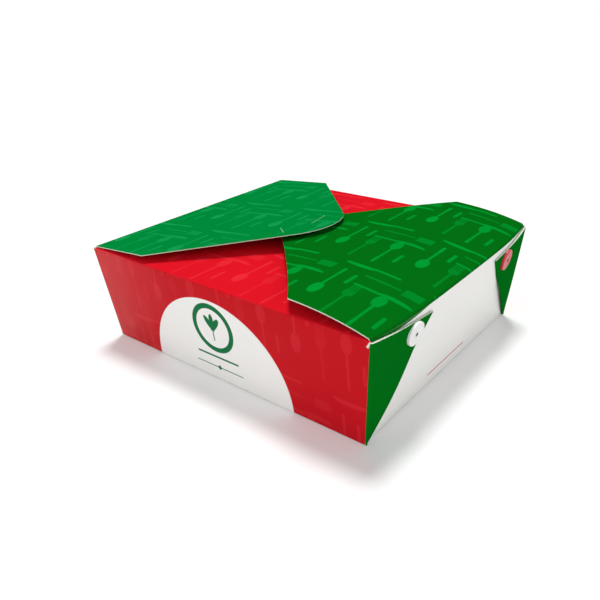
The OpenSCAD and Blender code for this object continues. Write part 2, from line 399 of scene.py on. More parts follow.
# coated card: fibre under the varnish, a slow ripple, and a roughness that varies with both
def cardSurface():
    inputs = [("Vector", "Vector", None), ("Roughness", "Float", 0.4), ("Fibre", "Float", 0.05),
              ("Ripple", "Float", 1.0)]
    group, given, out = newGroup("cardSurface", inputs, [("Roughness", "Float"), ("Height", "Float")])
    fine = noise(group, given["Vector"], 1.6, 3.0)
    fibre = noise(group, given["Vector"], 5.0, 2.0)
    slow = noise(group, given["Vector"], 0.045, 1.5)
    height = plus(group, times(group, plus(group, fine, fibre), given["Fibre"]),
                  times(group, slow, given["Ripple"]))
    uneven = times(group, minus(group, plus(group, fine, slow), 1.0), 0.16)
    group.links.new(plus(group, given["Roughness"], uneven, clamp=True), out["Roughness"])
    group.links.new(height, out["Height"])
    return group


# ink that has cracked or rubbed away at folds and cut edges
def inkWear():
    inputs = [("Vector", "Vector", None), ("Wear", "Float", 0.0), ("Amount", "Float", 0.5)]
    group, given, out = newGroup("inkWear", inputs, [("Mask", "Float")])
    fleck = noise(group, given["Vector"], 1.1, 4.0)
    reach = times(group, given["Wear"], given["Amount"])
    raised = minus(group, plus(group, reach, fleck), 1.0)
    group.links.new(times(group, raised, 6.0, clamp=True), out["Mask"])
    return group


groups = {"print": utensilPrint(), "surface": cardSurface(), "wear": inkWear()}
print("shader groups made")


def millimetres(tree, turn=(0, 0, 0)):
    place = tree.nodes.new("ShaderNodeTexCoord").outputs["Object"]
    inputs = {"Vector": place, "Scale": (1 / mm,) * 3, "Rotation": turn}
    return put(tree, "ShaderNodeMapping", inputs).outputs[0]


def newMaterial(name):
    material = bpy.data.materials.new(name)
    material.use_nodes = True
    tree = material.node_tree
    tree.nodes.clear()
    return material, tree


def finishCard(tree, place, colour, roughness, fibre=0.05, bump=0.25, specular=0.04):
    skin = useGroup(tree, groups["surface"], {"Vector": place, "Roughness": roughness, "Fibre": fibre})
    bumped = put(tree, "ShaderNodeBump", {"Height": skin["Height"], "Strength": bump, "Distance": mm})
    inputs = {"Roughness": skin["Roughness"], "Normal": bumped.outputs[0], "Base Color": colour,
              "Specular IOR Level": specular}
    shader = put(tree, "ShaderNodeBsdfPrincipled", inputs)
    put(tree, "ShaderNodeOutputMaterial", {"Surface": shader.outputs[0]})


def tinted(tree, place, colour, depth):
    slow = noise(tree, place, 0.03, 2.0)
    fine = noise(tree, place, 0.9, 3.0)
    share = plus(tree, times(tree, slow, 0.7), times(tree, fine, 0.3))
    dark = [c * (1 - depth) for c in colour[:3]] + [1]
    light = [min(1, c * (1 + depth)) for c in colour[:3]] + [1]
    return blendColour(tree, share, dark, light)


def worn(tree, place, colour, paper, amount):
    near = put(tree, "ShaderNodeAttribute", attribute_name="wear").outputs["Fac"]
    mask = useGroup(tree, groups["wear"], {"Vector": place, "Wear": near, "Amount": amount})["Mask"]
    return blendColour(tree, mask, colour, paper)


# how the flaps are cut, in millimetres
flapSizes = {
    "reach": 91.0,
    "side": 35.5,          # straight part of each long edge
    "nose": 27.0,          # radius of the round nose
    "inset": 0.9,
    "outerTilt": 5.0,      # degrees
    "rootAngle": 16.0,     # the inner flap leaves its fold at this angle
    "noseAngle": 5.0,      # and comes down to its nose at this one
    "sideReach": 60.0,
    "sideTaper": 22.0,
    "sideCorner": 8.0,
    "sideDrop": 0.6,       # the side walls' fold lies below the ends'
    "thickness": 0.36,     # of the outer flap, whose cut edge is pressed
    "rows": 26,
    "columns": 60,
}
flapHalf = topHalf - flapSizes["inset"]

slitSizes = {
    "long": 12.8,
    "longFromNose": 12.0,
    "longOffMiddle": 4.3,
    "longAngle": 8.0,      # degrees to the fold
    "short": 8.0,
    "shortFromNose": 17.7,
    "shortOffMiddle": 16.2,
    "shortAngle": 40.0,    # degrees to the flap's length
    "width": 0.12,         # seen almost closed
    "light": 0.14,         # half width of the bare card along a slit
}


# bare card showing as a light line along each slit of the outer flap
def slitLines(tree, place):
    x, y, z = split(tree, place)
    tilt = math.cos(math.radians(flapSizes["outerTilt"]))
    s = calc(tree, "DIVIDE", plus(tree, x, endFoldX), tilt)
    lines = []
    for kind, side, angle in (("long", 1, 90 + slitSizes["longAngle"]),
                              ("short", -1, -slitSizes["shortAngle"])):
        u = minus(tree, s, flapSizes["reach"] - slitSizes[kind + "FromNose"])
        v = minus(tree, y, side * slitSizes[kind + "OffMiddle"])
        along, across = turnedAxes(tree, u, v, math.radians(angle))
        half = slitSizes[kind] / 2
        lines.append(barDistance(tree, across, along, -half, half, slitSizes["light"]))
    return insideOf(tree, nearestOf(tree, *lines), 0.12)


inks = {
    "greenDeep": srgb(3, 100, 18),
    "greenBright": srgb(0, 152, 52),
    "greenOuter": srgb(0, 124, 52),
    # the outer flap's two greens are lighter copies of the inner flap's greens: painted sheen on the same
    # print
    "paintedSheenGreenMark": srgb(24, 150, 84),
    "greenWeb": srgb(3, 108, 24),
    "red": srgb(196, 16, 28),
    "redFlap": srgb(208, 20, 34),
    "redMark": srgb(236, 62, 74),
    "white": srgb(241, 240, 237),
    "bare": srgb(214, 213, 209),    # the uncoated side of the card
    "paper": srgb(226, 222, 214),
    "cutEdge": srgb(206, 218, 200),
    "slit": srgb(150, 208, 168),
    # pale red for the walls' painted glare, a reflection painted into the colour
    "paintedGlare": srgb(222, 128, 124),
    "ring": srgb(14, 112, 62),
}


def patternedCard(name, ground, mark, strength, roughness, specular=0.04, slits=False):
    material, tree = newMaterial(name)
    place = millimetres(tree)
    mask = useGroup(tree, groups["print"], {"Vector": place})["Mask"]
    colour = blendColour(tree, times(tree, mask, strength), tinted(tree, place, ground, 0.1), mark)
    colour = worn(tree, place, colour, inks["paper"], 0.27)
    if slits:
        colour = blendColour(tree, slitLines(tree, place), colour, inks["slit"])
    finishCard(tree, place, colour, roughness, bump=0.2, specular=specular)
    return material


def plainCard(name, colour, roughness, depth=0.05, bump=0.25, wear=0.0, fibre=0.05, specular=0.2):
    material, tree = newMaterial(name)
    place = millimetres(tree)
    ink = tinted(tree, place, colour, depth)
    if wear:
        ink = worn(tree, place, ink, inks["paper"], wear)
    finishCard(tree, place, ink, roughness, fibre=fibre, bump=bump, specular=specular)
    return material


# front and back wall: red, with a white half round field that holds a ring, a sprig and a thin rule, and
# painted glare at the left
wallPrint = {
    "pattern": 0.22,       # strength of the utensils
    "paintedGlare": 0.34,          # painted glare: pale streaks at the left that stand in for a reflection, and where they start
    "paintedGlareFrom": -25.0,
    "offMiddle": -1.8,
    "fieldRadius": 41.3,
    "ringHeight": 27.6,
    "ringRadius": 10.9,
    "ringWidth": 1.25,     # half the ring's width
    "leaf": (1.5, 4.2),
    "leafTurn": 38.0,
    "middleLeaf": (4.0, 1.3, 3.2),
    "stalk": (-6.0, 1.0, 0.3),
    "bandHeight": 12.6,
    "bandHalf": 12.0,
    "ruleHeight": 7.0,
    "ruleHalf": 14.0,
    "diamond": 1.4,
    "torn": ((77.4, 46.3), (78.6, 48.2)),    # where the corner's print has torn off
}


def wallCard():
    material, tree = newMaterial("redWallPrint")
    place = millimetres(tree)
    u, depth, v = split(tree, place)
    upright = millimetres(tree, (math.radians(-90), 0, 0))
    mask = useGroup(tree, groups["print"], {"Vector": upright})["Mask"]
    red = tinted(tree, place, inks["red"], 0.12)
    ground = blendColour(tree, times(tree, mask, wallPrint["pattern"]), red, inks["redMark"])
    wallU, u = u, minus(tree, u, wallPrint["offMiddle"])
    far = lengthOf(tree, u, v)
    # painted glare: pale streaks over the red that grow towards the left, standing in for a reflection
    streak = put(tree, "ShaderNodeMapping", {"Vector": place, "Scale": (0.14, 0.14, 0.02)}).outputs[0]
    cloud = noise(tree, streak, 1.0, 2.0)
    left = times(tree, minus(tree, wallPrint["paintedGlareFrom"], wallU), 0.02, clamp=True)
    share = times(tree, left, times(tree, cloud, wallPrint["paintedGlare"]))
    ground = blendColour(tree, share, ground, inks["paintedGlare"])
    field = insideOf(tree, minus(tree, far, wallPrint["fieldRadius"]), 0.15)
    colour = blendColour(tree, field, ground, tinted(tree, place, inks["white"], 0.03))
    up = minus(tree, v, wallPrint["ringHeight"])
    off = calc(tree, "ABSOLUTE", minus(tree, lengthOf(tree, u, up), wallPrint["ringRadius"]))
    ring = minus(tree, off, wallPrint["ringWidth"])
    marks = [ring, barDistance(tree, u, up, *wallPrint["stalk"])]
    halfWidth, halfLength = wallPrint["leaf"]
    for side in (-1, 1):
        along, across = turnedAxes(tree, up, u, math.radians(side * wallPrint["leafTurn"]))
        marks.append(ovalDistance(tree, across, along, halfLength - 1.5, halfWidth, halfLength))
    marks.append(ovalDistance(tree, u, up, *wallPrint["middleLeaf"]))
    band = minus(tree, v, wallPrint["bandHeight"])
    marks.append(barDistance(tree, band, u, -wallPrint["bandHalf"], wallPrint["bandHalf"], 0.5))
    low = minus(tree, v, wallPrint["ruleHeight"])
    marks.append(barDistance(tree, low, u, -wallPrint["ruleHalf"], wallPrint["ruleHalf"], 0.25))
    cornerwise = plus(tree, calc(tree, "ABSOLUTE", u), calc(tree, "ABSOLUTE", low))
    marks.append(minus(tree, cornerwise, wallPrint["diamond"]))
    colour = blendColour(tree, insideOf(tree, nearestOf(tree, *marks), 0.12), colour, inks["ring"])
    (lowX, lowZ), (highX, highZ) = wallPrint["torn"]
    turn = math.atan2(highZ - lowZ, highX - lowX)
    u, v = minus(tree, wallU, lowX), minus(tree, v, lowZ)
    along, across = turnedAxes(tree, u, v, turn)
    rough = noise(tree, place, 0.9, 3.0)
    patch = barDistance(tree, across, along, 0.0, math.hypot(highX - lowX, highZ - lowZ), -0.5)
    torn = insideOf(tree, minus(tree, patch, times(tree, rough, 1.7)), 0.12)
    front = calc(tree, "LESS_THAN", depth, 0.0)
    colour = blendColour(tree, times(tree, torn, front), colour, inks["paper"])
    colour = worn(tree, place, colour, inks["paper"], 0.26)
    finishCard(tree, place, colour, 0.42, bump=0.25)
    return material


# end wall: white card with a thin red rule near the bottom; the flap's green print runs over the fold,
# and furthest near the front corner
endPrint = {
    "ruleHeight": 6.0,
    "ruleHalf": 17.0,
    "greenFrom": 48.0,
    "dip": 1.6,
    "dipMiddle": -55.0,
    "dipHalf": 22.0,
}


def endCard():
    material, tree = newMaterial("whiteEndPrint")
    place = millimetres(tree)
    side, u, v = split(tree, place)
    low = minus(tree, v, endPrint["ruleHeight"])
    rule = barDistance(tree, low, u, -endPrint["ruleHalf"], endPrint["ruleHalf"], 0.3)
    white = tinted(tree, place, inks["white"], 0.03)
    colour = blendColour(tree, insideOf(tree, rule, 0.12), white, inks["red"])
    off = calc(tree, "DIVIDE", minus(tree, u, endPrint["dipMiddle"]), endPrint["dipHalf"])
    dip = calc(tree, "MAXIMUM", minus(tree, 1.0, times(tree, off, off)), 0.0)
    lowest = minus(tree, endPrint["greenFrom"], times(tree, dip, endPrint["dip"]))
    over = times(tree, insideOf(tree, minus(tree, lowest, v), 0.12),
                calc(tree, "GREATER_THAN", side, 0.0))
    colour = blendColour(tree, over, colour, tinted(tree, place, inks["greenDeep"], 0.05))
    finishCard(tree, place, colour, 0.38, bump=0.2, specular=0.1)
    return material


cards = {
    "wall": wallCard(),
    "end": endCard(),
    "redFlap": patternedCard("redFlapPrint", inks["redFlap"], inks["redMark"], 0.3, 0.42, 0.0),
    "greenFlap": patternedCard("greenInnerPrint", inks["greenDeep"], inks["greenBright"], 0.75, 0.42, 0.0),
    # the outer flap's print is the inner print made lighter, a painted sheen
    "greenOuter": patternedCard("paintedSheenGreenPrint", inks["greenOuter"], inks["paintedSheenGreenMark"], 0.6, 0.3, 0.0,
                                slits=True),
    "greenWeb": plainCard("greenWebPrint", inks["greenWeb"], 0.3, 0.04, bump=0.1, wear=0.2, specular=0.0),
    "under": plainCard("whiteUnderside", inks["white"], 0.42, 0.03, bump=0.2),
    "inside": plainCard("whiteInside", inks["bare"], 0.55, 0.03, bump=0.3),
    "edge": plainCard("cutCardEdge", inks["cutEdge"], 0.8, 0.08, bump=0.6, fibre=0.3),
}
print("card finishes made")


# height of the inner flap above its fold, at a distance from it
def innerRise(s):
    reach = flapSizes["reach"]
    root, nose = flapSizes["rootAngle"], flapSizes["noseAngle"]
    left = 1 - s / reach
    return math.tan(math.radians(1)) * (-nose * s + (root + nose) * reach / 3 * (1 - left ** 3))


# rows of an end flap: distance from the fold and half width there
def endFlapRows(start, rows):
    side, reach, nose = flapSizes["side"], flapSizes["reach"], flapSizes["nose"]
    middle = reach - nose
    angle = math.atan2(flapHalf, side - middle) - math.acos(nose / math.hypot(side - middle, flapHalf))
    tangent = (middle + nose * math.cos(angle), nose * math.sin(angle))
    found = [(start + (side - start) * t, flapHalf) for t in np.linspace(0, 1, rows // 2)]
    found += [(side + (tangent[0] - side) * t, flapHalf + (tangent[1] - flapHalf) * t)
              for t in np.linspace(0, 1, rows // 2)[1:]]
    found += [(middle + nose * math.cos(angle * (1 - t)), nose * math.sin(angle * (1 - t)))
              for t in np.linspace(0, 1, rows // 2)[1:] ** 0.85 * 0.985]
    return found


def sideFlapRows(start, half):
    corner, reach = flapSizes["sideCorner"], flapSizes["sideReach"]
    straight, endHalf = reach - corner, half - flapSizes["sideTaper"]
    found = [(s, half - flapSizes["sideTaper"] * s / reach)
             for s in np.linspace(start, straight, flapSizes["rows"] // 2)]
    for turn in np.radians(np.linspace(0, 90, 10)[1:]):
        found.append((straight + corner * math.sin(turn), endHalf - corner * (1 - math.cos(turn))))
    return found


# slow unevenness of a hand folded panel
def unevenness(x, y, size):
    return size * (np.sin(x / 17.0 + 0.6) * np.sin(y / 23.0 + 1.1) + 0.4 * np.sin(x / 9.0 + y / 13.0))


# profile of a wall with the folds at its foot and its top, as outward distance and height
def wallProfile(foldOut, footOut, top, flapAngle):
    steps = boxSizes["foldSteps"]
    up = (math.sin(lean), math.cos(lean))
    inward = (-math.cos(math.radians(flapAngle)), math.sin(math.radians(flapAngle)))
    foot = bend((footOut, card / 2), (1, 0), up, boxSizes["bottomFold"], steps)
    head = bend((foldOut, top), up, inward, boxSizes["topFold"], steps)
    between = [[foot[-1][i] + (head[0][i] - foot[-1][i]) * t for i in (0, 1)]
               for t in np.linspace(0, 1, boxSizes["wallRows"])[1:-1]]
    return foot, between, head


def rightEnd(build):
    foot, wall, fold = wallProfile(endFoldX, endX - halfCard + slope * card / 2, boxSizes["height"],
                                   flapSizes["rootAngle"])
    rows = [(p[0], p[1], sideY - card / 2 + p[1] * slope) for p in foot + wall]
    rows += [(p[0], p[1], flapHalf) for p in fold]
    start = endFoldX - fold[-1][0]
    rows += [(endFoldX - s, fold[-1][1] + innerRise(s) - innerRise(start), half)
             for s, half in endFlapRows(start + 0.8, flapSizes["rows"])]
    across = acrossCard(flapSizes["columns"]) * 2 - 1
    grid = []
    for x, z, half in rows:
        y = half * across
        grid.append(np.stack([x + bowAt(boxSizes["endBow"], y, z), y, np.full_like(y, z)], 1))
    grid = np.array(grid)
    grid[..., 2] += unevenness(grid[..., 0], grid[..., 1], 0.12) * np.clip((grid[..., 2] - 45) / 8, 0, 1)
    wallRows = len(foot) + len(wall)
    addSheet(build, grid, "end", beyond="greenFlap", changeRow=wallRows)


def leftEnd(build):
    foot, wall = wallProfile(endFoldX, endX - halfCard + slope * card / 2, boxSizes["height"],
                             flapSizes["outerTilt"])[:2]
    top = boxSizes["height"] - card / 2 - 0.15
    high = endX - halfCard + top * slope
    rows = [(p[0], p[1], sideY - card / 2 + p[1] * slope) for p in foot + wall]
    rows.append((high, top, sideY - card / 2 + top * slope))
    across = acrossCard(flapSizes["columns"]) * 2 - 1
    grid = np.array([np.stack([np.full_like(across, -x), half * across, np.full_like(across, z)], 1)
                     for x, z, half in rows])
    addSheet(build, grid[:, ::-1], "end")


def sideWall(build, back):
    top = boxSizes["height"] - flapSizes["sideDrop"]
    foldY = sideY + top * slope - halfCard
    foot, wall, fold = wallProfile(foldY, sideY - halfCard + slope * card / 2, top, 0)
    plyX = endX + outerPly - gussetSizes["ply"] / 2 - boxSizes["cornerFold"]
    rootHalf = endX + boxSizes["flare"] - card - 3 * boxSizes["plyGap"]
    rows = [(p[0], p[1], plyX + p[1] * slope) for p in foot + wall]
    wide = plyX + top * slope
    rows += [(p[0], p[1], wide if i <= len(fold) - 3 else rootHalf) for i, p in enumerate(fold)]
    start = foldY - fold[-1][0]
    rows += [(foldY - s, fold[-1][1], half) for s, half in sideFlapRows(start + 0.6, rootHalf)]
    across = acrossCard(flapSizes["columns"]) * 2 - 1
    turn = 1 if back else -1
    grid = np.array([np.stack([half * across, np.full_like(across, turn * out), np.full_like(across, z)], 1)
                     for out, z, half in rows])
    inFlap = np.clip((foldY - np.abs(grid[..., 1])) / 20, 0, 1)
    inFlap *= np.clip((grid[..., 2] - top + 0.5) * 4, 0, 1)
    grid[..., 2] -= np.abs(unevenness(grid[..., 0], grid[..., 1], 0.2)) * inFlap
    if back:
        grid = grid[:, ::-1]
    wallRows = len(foot) + len(wall) + len(fold) // 2
    addSheet(build, grid, "wall", beyond="redFlap", changeRow=wallRows)


gussetSizes = {
    "reach": 35.3,         # how far the tip reaches in from the bottom corner
    "tipDrop": 4.8,        # and how far it stops below the fold
    "spring": 1.2,         # how far the crease springs off the wall
    "drop": 1.0,
    "toCrease": 7.4,       # place of the rivet from the crease and below the tip
    "belowTip": 3.8,
    "ply": 0.42,           # the two plies are pressed thin and close together
    "between": 0.04,
    "pressed": 1.0,        # outer face off the wall where the rivet pulls the gusset down
    "margin": 1.0,
    "rises": 24,
    "reaches": 22,
}
rivetSizes = {
    "head": 10.2,
    "headHeight": 1.2,
    "stem": 3.0,
    "flange": 7.0,
    "flangeHeight": 0.8,
    "pin": 1.6,
    "pinDepth": 0.5,
    "rim": 0.4,
    "seat": 0.1,
    "segments": 56,
}
gussetTop = boxSizes["height"] - gussetSizes["drop"]
gussetTip = np.array([sideY - gussetSizes["reach"], boxSizes["height"] - gussetSizes["tipDrop"]])
creaseWay = unit(gussetTip - [sideY, 0])
rivetZ = gussetTip[1] - gussetSizes["belowTip"]
rivetY = sideY + (creaseWay[0] * rivetZ + gussetSizes["toCrease"]) / creaseWay[1]
springEnd = (rivetZ - rivetSizes["head"] / 2 - gussetSizes["margin"]) / gussetTop


def springAt(rise, reach):
    return gussetSizes["spring"] * reach * math.sin(math.pi * min(1, rise / springEnd))


# a triangle of card folded double along its crease, with the fold round the box's corner
def gusset(build, right, back):
    bow = boxSizes["endBow"] if right else 0.0
    apart = gussetSizes["ply"] + gussetSizes["between"]
    turnRadius = apart / 2

    def outerOff(reach):
        pressed = gussetSizes["pressed"]
        return pressed + (outerPly - pressed) * (1 - reach) ** 2 - gussetSizes["ply"] / 2

    cornerRadius = boxSizes["cornerFold"]
    foot = np.array([sideY - card / 2, 0.0])
    top = np.array([sideY - card / 2 + gussetTop * slope, gussetTop])
    rises = np.concatenate([[0.004], np.linspace(0.03, 1, gussetSizes["rises"])])
    grid = []
    for rise in rises:
        corner = foot + rise * (top - foot)
        crease = foot + rise * (gussetTip - foot)
        line = []
        wallY = sideY - halfCard + corner[1] * slope + (card - gussetSizes["ply"]) / 2
        radius = min(cornerRadius, 0.45 * abs(corner[0] - crease[0]))
        for angle in np.radians(np.linspace(0, 90, 7)[:-1]):
            line.append((endX + corner[1] * slope + outerOff(0) - radius * (1 - math.sin(angle)),
                         wallY - radius * (1 - math.cos(angle)), corner[1]))
        first = radius / max(abs(corner[0] - crease[0]), 0.01)
        for reach in np.linspace(first, 1, gussetSizes["reaches"]):
            y, z = corner + reach * (crease - corner)
            line.append((endX + z * slope + bowAt(bow, y, z) + outerOff(reach) + springAt(rise, reach), y, z))
        for angle in np.radians([150, 120, 90, 60, 30]):
            y, z = crease - np.array([turnRadius * math.sin(angle), 0])
            off = outerOff(1) - apart + turnRadius * (1 - math.cos(angle))
            line.append((endX + z * slope + bowAt(bow, y, z) + off + springAt(rise, 1), y, z))
        for reach in np.linspace(1, 0, gussetSizes["reaches"] // 2):
            y, z = corner + reach * (crease - corner)
            off = outerOff(reach) - apart
            line.append((endX + z * slope + bowAt(bow, y, z) + off + springAt(rise, reach), y, z))
        grid.append(line)
    grid = np.array(grid) * [1 if right else -1, 1 if back else -1, 1]
    grid = grid[:, ::-1] if right == back else grid
    addSheet(build, grid, "greenWeb", thickness=gussetSizes["ply"])


def baseSlab(build):
    reachX = endX - halfCard - boxSizes["bottomFold"]
    reachY = sideY - halfCard - boxSizes["bottomFold"]
    xs, ys = np.linspace(-reachX, reachX, 24), np.linspace(-reachY, reachY, 22)
    grid = np.array([[(x, y, card / 2) for y in ys] for x in xs])
    addSheet(build, grid, "under")


def makeCarton():
    build = newBuild()
    baseSlab(build)
    rightEnd(build)
    leftEnd(build)
    for back in (False, True):
        sideWall(build, back)
        for right in (False, True):
            gusset(build, right, back)
    return finishPiece(build, "carton_sheet", cards)


carton = makeCarton()
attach(carton, "box")
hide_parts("carton")
print("carton made", len(carton.data.polygons))


def slitCutter():
    cutter = bmesh.new()
    reach = flapSizes["reach"]
    cuts = [(reach - slitSizes["longFromNose"], slitSizes["longOffMiddle"], slitSizes["longAngle"],
             slitSizes["width"], slitSizes["long"]),
            (reach - slitSizes["shortFromNose"], -slitSizes["shortOffMiddle"], -slitSizes["shortAngle"],
             slitSizes["short"], slitSizes["width"])]
    for x, y, turn, sizeX, sizeY in cuts:
        place = (Matrix.Translation((x, y, 0)) @ Matrix.Rotation(math.radians(turn), 4, "Z")
                 @ Matrix.Diagonal((sizeX, sizeY, 8 * card, 1)))
        bmesh.ops.create_cube(cutter, size=1, matrix=place)
    mesh = bpy.data.meshes.new("slits")
    cutter.transform(Matrix.Scale(mm, 4) @ flapPlace())
    for face in cutter.faces:
        face.material_index = list(cards).index("edge")
    cutter.to_mesh(mesh)
    cutter.free()
    for material in cards.values():
        mesh.materials.append(material)
    return addObject("slits", mesh)


def flapPlace():
    return (Matrix.Translation((-endFoldX, 0, boxSizes["height"]))
            @ Matrix.Rotation(-math.radians(flapSizes["outerTilt"]), 4, "Y"))


# the new mesh of an object with its modifiers, and the object without them
def settle(piece):
    view = bpy.context.evaluated_depsgraph_get()
    mesh = bpy.data.meshes.new_from_object(piece.evaluated_get(view), preserve_all_data_layers=True,
                                           depsgraph=view)
    piece.modifiers.clear()
    piece.data = mesh
    return piece


def makeOuterFlap():
    build = newBuild()
    across = acrossCard(flapSizes["columns"]) * 2 - 1
    rows = [(0.0, 0.0, flapHalf)] + [(s, 0.0, half) for s, half in endFlapRows(0.6, flapSizes["rows"])]
    grid = np.array([np.stack([np.full_like(across, s), half * across, np.full_like(across, z)], 1)
                     for s, z, half in rows])
    addSheet(build, grid[:, ::-1], "greenOuter", thickness=flapSizes["thickness"], root="greenOuter")
    turn = np.array(flapPlace())
    build["points"] = [p @ turn[:3, :3].T + turn[:3, 3] for p in build["points"]]
    piece = finishPiece(build, "outer_flap_sheet", cards)
    cutter = slitCutter()
    cut = piece.modifiers.new("slits", "BOOLEAN")
    cut.operation = "DIFFERENCE"
    cut.solver = "EXACT"
    cut.object = cutter
    settle(piece)
    bpy.data.objects.remove(cutter)
    return piece


outerFlap = makeOuterFlap()
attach(outerFlap, "flap")
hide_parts("outer_flap")
print("outer flap made", len(outerFlap.data.polygons))


def plasticFinish(name, colour):
    material, tree = newMaterial(name)
    place = millimetres(tree)
    cloud = noise(tree, place, 0.5, 3.0)
    grain = noise(tree, place, 6.0, 2.0)
    dark = [c * 0.94 for c in colour[:3]] + [1]
    tone = blendColour(tree, cloud, dark, colour)
    rough = plus(tree, 0.28, times(tree, cloud, 0.14))
    bumped = put(tree, "ShaderNodeBump", {"Height": grain, "Strength": 0.06, "Distance": mm})
    shader = put(tree, "ShaderNodeBsdfPrincipled", {"Base Color": tone, "Roughness": rough,
                                                    "Normal": bumped.outputs[0]})
    put(tree, "ShaderNodeOutputMaterial", {"Surface": shader.outputs[0]})
    return material


# the pin finish is a dark grey for the inside of the pin hole: painted shade in a recess
plastics = {"white": plasticFinish("whiteRivetPlastic", srgb(238, 238, 236)),
            "red": plasticFinish("redRivetPlastic", srgb(196, 44, 54)),
            "pin": plasticFinish("rivetPinPaintedShade", srgb(66, 62, 64))}


# Geometry Nodes: one rivet, built ring by ring from the inside flange to the pin hole, whose faces get a dark
# grey as painted shade, on every point
def rivetTree(material, shade):
    tree = bpy.data.node_groups.new("pushRivets", "GeometryNodeTree")
    tree.interface.new_socket("Geometry", in_out="INPUT", socket_type="NodeSocketGeometry")
    for label, key in (("Head Radius", "head"), ("Head Height", "headHeight"), ("Stem Radius", "stem"),
                       ("Flange Radius", "flange"), ("Flange Height", "flangeHeight"), ("Pin Radius", "pin"),
                       ("Pin Depth", "pinDepth"), ("Rim", "rim"), ("Grip", None), ("Segments", None)):
        kind = "NodeSocketInt" if label == "Segments" else "NodeSocketFloat"
        tree.interface.new_socket(label, in_out="INPUT", socket_type=kind)
    tree.interface.new_socket("Geometry", in_out="OUTPUT", socket_type="NodeSocketGeometry")
    given = tree.nodes.new("NodeGroupInput").outputs
    out = tree.nodes.new("NodeGroupOutput").inputs

    inputs = {"Vertices": given["Segments"], "Radius": given["Flange Radius"]}
    disc = put(tree, "GeometryNodeMeshCircle", inputs, fill_type="NGON").outputs[0]
    shape, radius, top = disc, given["Flange Radius"], True
    rim, head, pin = given["Rim"], given["Head Radius"], given["Pin Radius"]
    slant = [times(tree, rim, k) for k in (0.08, 0.3, 0.62)]
    steps = [(given["Flange Height"], given["Flange Radius"]), (0.0, given["Stem Radius"]),
             (given["Grip"], given["Stem Radius"]), (0.0, head),
             (minus(tree, given["Head Height"], rim), head),
             (times(tree, rim, 0.38), minus(tree, head, slant[0])),
             (times(tree, rim, 0.32), minus(tree, head, slant[1])),
             (times(tree, rim, 0.22), minus(tree, head, slant[2])),
             (times(tree, rim, 0.08), minus(tree, head, rim)),
             (0.0, times(tree, pin, 1.25)), (times(tree, given["Pin Depth"], -0.25), pin),
             (times(tree, given["Pin Depth"], -0.75), times(tree, pin, 0.96))]
    for rise, wide in steps:
        up = put(tree, "GeometryNodeExtrudeMesh", {"Mesh": shape, "Selection": top, "Offset": (0, 0, 1),
                                                   "Offset Scale": rise, "Individual": False}, mode="FACES")
        top = up.outputs["Top"]
        share = calc(tree, "DIVIDE", wide, radius)
        shape = put(tree, "GeometryNodeScaleElements", {"Geometry": up.outputs["Mesh"],
                                                        "Selection": top, "Scale": share}).outputs[0]
        radius = wide
    # the pin hole's bottom and sides, which take the dark grey of painted shade
    paintedShadeFaces = put(tree, "FunctionNodeBooleanMath", {0: top, 1: up.outputs["Side"]}, operation="OR").outputs[0]
    inputs = {"Geometry": shape, "Selection": paintedShadeFaces, "Name": "pin", "Value": True}
    stored = put(tree, "GeometryNodeStoreNamedAttribute", inputs, data_type="BOOLEAN", domain="FACE")
    closed = put(tree, "GeometryNodeFlipFaces", {"Mesh": disc}).outputs[0]
    joined = tree.nodes.new("GeometryNodeJoinGeometry")
    for part in (closed, stored.outputs[0]):
        tree.links.new(part, joined.inputs[0])
    inputs = {"Geometry": joined.outputs[0], "Distance": 1e-6}
    whole = put(tree, "GeometryNodeMergeByDistance", inputs).outputs[0]

    facing = put(tree, "GeometryNodeInputNamedAttribute", {"Name": "outward"}, data_type="FLOAT_VECTOR")
    inputs = {"Vector": facing.outputs[0]}
    turned = put(tree, "FunctionNodeAlignRotationToVector", inputs, axis="Z").outputs[0]
    placed = put(tree, "GeometryNodeInstanceOnPoints", {"Points": given["Geometry"], "Instance": whole,
                                                        "Rotation": turned}).outputs[0]
    real = put(tree, "GeometryNodeRealizeInstances", {0: placed}).outputs[0]
    dressed = put(tree, "GeometryNodeSetMaterial", {"Geometry": real, "Material": material}).outputs[0]
    # the pin hole's faces take the dark grey: painted shade
    mark = put(tree, "GeometryNodeInputNamedAttribute", {"Name": "pin"}, data_type="BOOLEAN").outputs[0]
    dressed = put(tree, "GeometryNodeSetMaterial", {"Geometry": dressed, "Selection": mark,
                                                    "Material": shade}).outputs[0]
    tree.links.new(dressed, out["Geometry"])
    return tree


def wallPoint(bow, y, z):
    return endX + z * slope + float(bowAt(bow, y, z))


